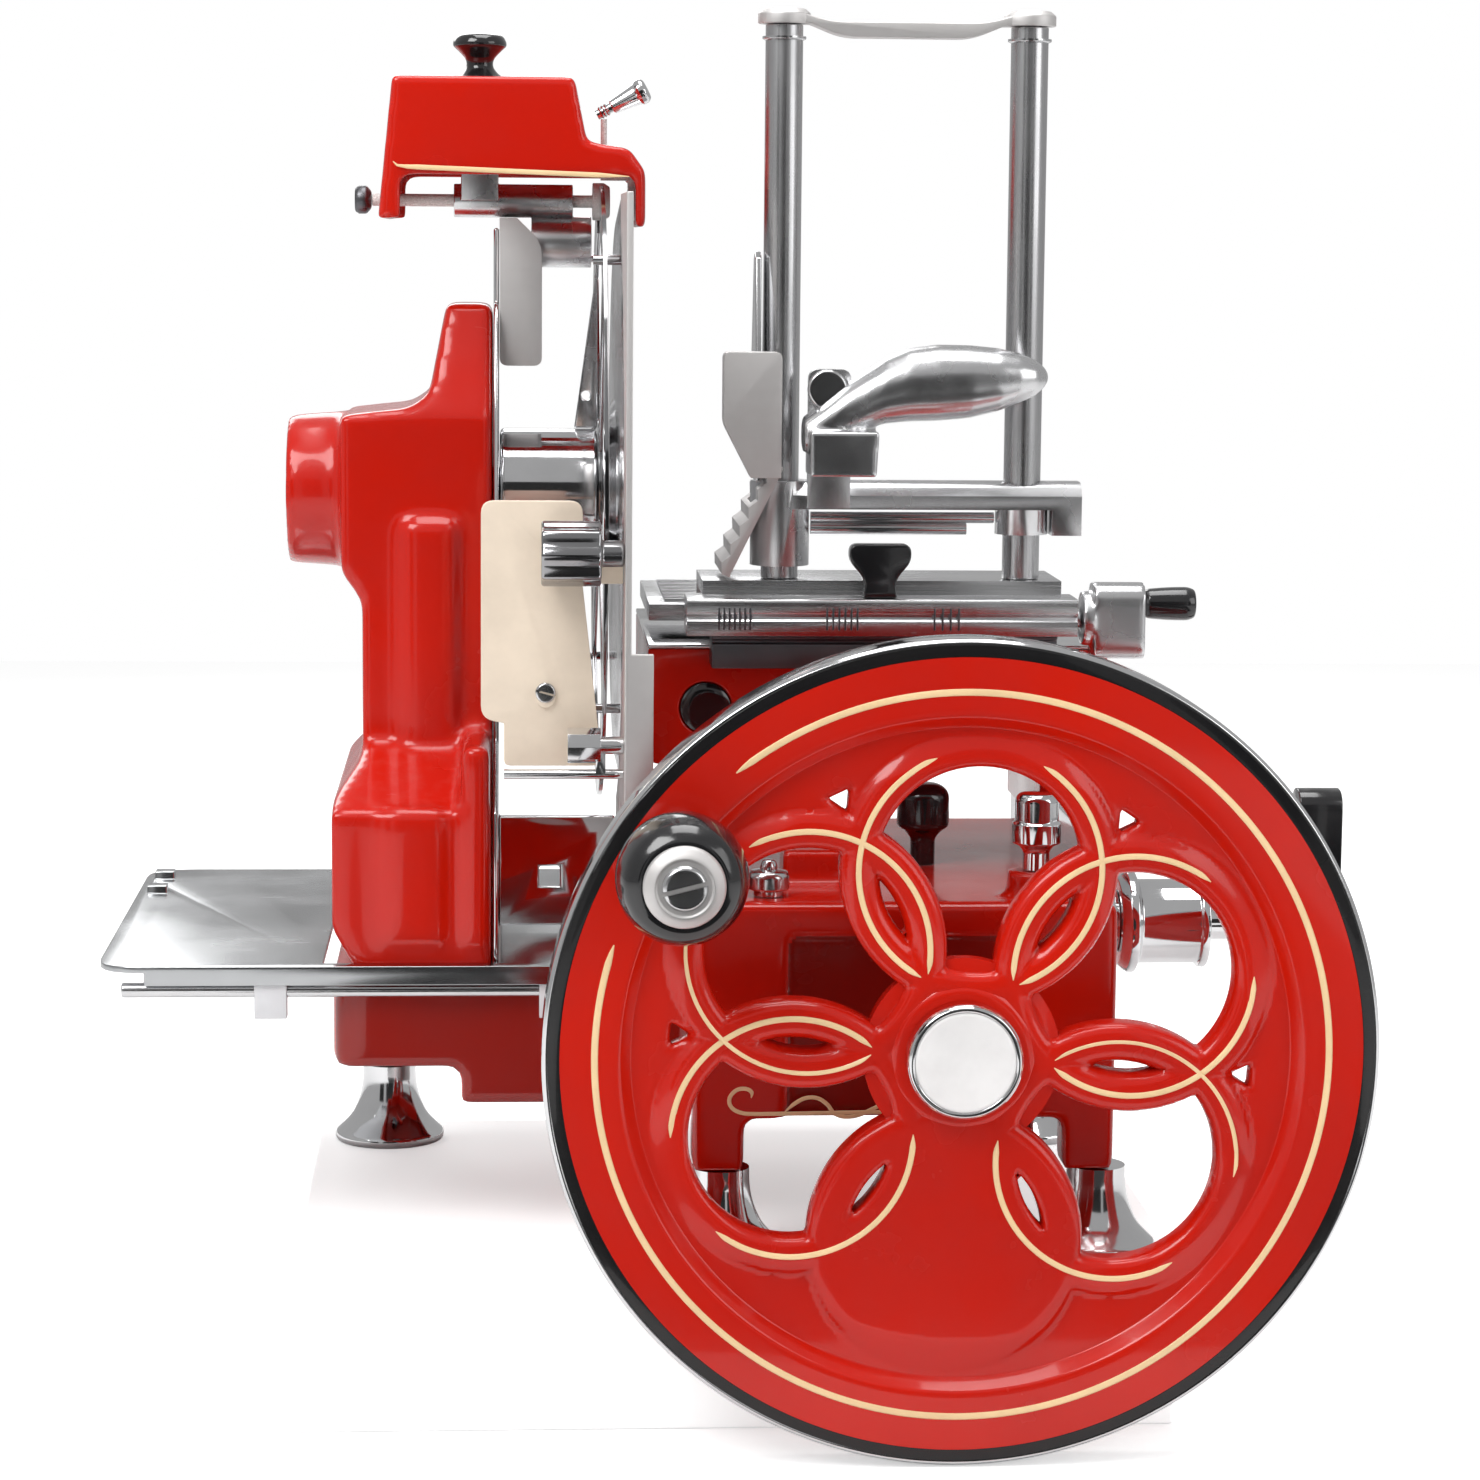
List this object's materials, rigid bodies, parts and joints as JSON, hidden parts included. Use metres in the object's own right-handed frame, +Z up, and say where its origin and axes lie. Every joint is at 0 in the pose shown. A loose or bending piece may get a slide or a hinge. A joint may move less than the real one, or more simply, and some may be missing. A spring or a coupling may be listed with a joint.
{
  "type": "hand crank meat slicer",
  "caption": "Hand-cranked flywheel slicer: pierced wheel, round blade on a column, sliding carriage with feed table and press, thickness dial, sharpener and tray.",
  "frame": {"origin": "centre of the underside of the front left foot, on the flywheel's side", "axes": "+X along the blade's shaft towards the thickness dial, +Y along the flywheel's shaft away from the flywheel, +Z up"},
  "size_m": [0.594, 0.4393, 0.6527],
  "materials": {
    "red_enamel": "glossy deep red enamel",
    "chrome": "bright chrome plate",
    "steel": "polished and fine brushed steel",
    "dark_steel": "oiled dark steel",
    "aluminium": "brushed cast aluminium",
    "black_gloss": "glossy black moulded plastic",
    "cream": "satin cream enamel",
    "white_nylon": "satin white nylon",
    "abrasive": "rough grey abrasive stone"
  },
  "bodies": {
    "base": {"base_frame": "red_enamel", "foot_front_left": "chrome", "foot_front_right": "chrome", "foot_rear_left": "chrome", "foot_rear_right": "chrome", "blade_column": "red_enamel", "column_cap": "red_enamel", "column_plate": "chrome", "hub_sleeve": "chrome", "blade_guard": "chrome", "guard_arm": "aluminium", "drive_chain": "dark_steel", "receiving_tray": "steel", "tray_rail": "chrome", "tray_clip_left": "white_nylon", "tray_clip_right": "white_nylon", "thickness_barrel": "steel", "sharpener_cover": "red_enamel", "sharpener_body": "chrome", "sharpener_bracket": "aluminium", "oiler_front_right": "chrome", "oiler_front_left": "dark_steel", "oiler_rear": "black_gloss", "slide_rail_left": "chrome", "slide_rail_right": "chrome"},
    "wheel": {"flywheel": "red_enamel", "hub_cap": "chrome", "flywheel_shaft": "steel", "crank_pin": "steel"},
    "grip": {"crank_grip": "black_gloss"},
    "cross_drive": {"cross_shaft": "steel"},
    "blade_unit": {"blade": "chrome", "blade_shaft": "steel"},
    "grinder": {"grinding_stone": "abrasive", "stone_button": "dark_steel"},
    "honer": {"honing_stone": "abrasive", "stone_lever": "chrome"},
    "spool_knob": {"cover_knob": "black_gloss"},
    "dial": {"thickness_dial": "steel"},
    "gauge": {"gauge_plate": "chrome", "deflector_plate": "cream", "deflector_rod": "chrome"},
    "gauge_knob": {"deflector_knob": "steel"},
    "carriage": {"carriage_frame": "red_enamel", "carriage_plate": "chrome", "carriage_button": "black_gloss", "table_rail": "dark_steel"},
    "table": {"feed_table": "aluminium", "post_left": "steel", "post_right": "steel", "top_bar": "chrome"},
    "table_crank": {"feed_crank": "aluminium"},
    "table_crank_grip": {"feed_grip": "black_gloss"},
    "table_lock": {"lock_knob": "black_gloss"},
    "press": {"press_arm": "aluminium", "press_rod": "chrome", "press_shield": "steel", "press_jaw": "steel"},
    "press_lever": {"press_handle": "aluminium"}
  },
  "joints": [
    {"name": "wheel_turn", "type": "hinge", "parent": "base", "child": "wheel", "pos_m": [0.1036, 0, 0.1063], "axis": [0, 1, 0], "continuous": true},
    {"name": "grip_turn", "type": "hinge", "parent": "wheel", "child": "grip", "pos_m": [-0.02348, -0.1, 0.19364], "axis": [0, 1, 0], "continuous": true},
    {"name": "cross_drive_turn", "type": "hinge", "parent": "base", "child": "cross_drive", "pos_m": [0, 0.15, 0.1063], "axis": [1, 0, 0], "continuous": true},
    {"name": "blade_turn", "type": "hinge", "parent": "base", "child": "blade_unit", "pos_m": [0, 0.15, 0.343], "axis": [1, 0, 0], "continuous": true},
    {"name": "grinder_press", "type": "slide", "parent": "base", "child": "grinder", "axis": [1, 0, 0], "range_m": [0, 0.0024], "stiffness_N_per_m": 500},
    {"name": "honer_press", "type": "slide", "parent": "base", "child": "honer", "axis": [1, 0, 0], "range_m": [-0.002, 0], "stiffness_N_per_m": 500},
    {"name": "spool_knob_turn", "type": "hinge", "parent": "base", "child": "spool_knob", "pos_m": [-0.112, 0.15, 0.541], "axis": [0, 0, 1], "range_deg": [-180, 180]},
    {"name": "dial_turn", "type": "hinge", "parent": "base", "child": "dial", "pos_m": [0, 0.095, 0.1375], "axis": [1, 0, 0], "range_deg": [0, 270]},
    {"name": "gauge_slide", "type": "slide", "parent": "base", "child": "gauge", "axis": [1, 0, 0], "range_m": [-0.012, 0]},
    {"name": "gauge_knob_turn", "type": "hinge", "parent": "gauge", "child": "gauge_knob", "pos_m": [0, -0.02, 0.3255], "axis": [1, 0, 0], "range_deg": [-180, 180]},
    {"name": "carriage_slide", "type": "slide", "parent": "base", "child": "carriage", "axis": [0, 1, 0], "range_m": [-0.075, 0.105]},
    {"name": "table_slide", "type": "slide", "parent": "carriage", "child": "table", "axis": [1, 0, 0], "range_m": [-0.01, 0.11]},
    {"name": "table_crank_turn", "type": "hinge", "parent": "table", "child": "table_crank", "pos_m": [0, 0.052, 0.29], "axis": [1, 0, 0], "range_deg": [-900, 9900]},
    {"name": "table_crank_grip_turn", "type": "hinge", "parent": "table_crank", "child": "table_crank_grip", "pos_m": [0, 0.052, 0.297], "axis": [1, 0, 0], "continuous": true},
    {"name": "table_lock_turn", "type": "hinge", "parent": "table", "child": "table_lock", "pos_m": [0.0755, 0.051, 0.31], "axis": [0, 0, 1], "range_deg": [-90, 90]},
    {"name": "press_slide", "type": "slide", "parent": "table", "child": "press", "axis": [0, 0, 1], "range_m": [-0.002, 0.095]},
    {"name": "press_lever_tilt", "type": "hinge", "parent": "press", "child": "press_lever", "pos_m": [0.05, 0.05, 0.3956], "axis": [0, 1, 0], "range_deg": [-35, 0]}
  ],
  "couplings": [
    {"joint": "cross_drive_turn", "follows": "wheel_turn", "ratio": -2.4},
    {"joint": "blade_turn", "follows": "wheel_turn", "ratio": -2.4},
    {"joint": "gauge_slide", "follows": "dial_turn", "m_per_rad": -0.0025465},
    {"joint": "table_crank_turn", "follows": "table_slide", "rad_per_m": 1570.8}
  ]
}
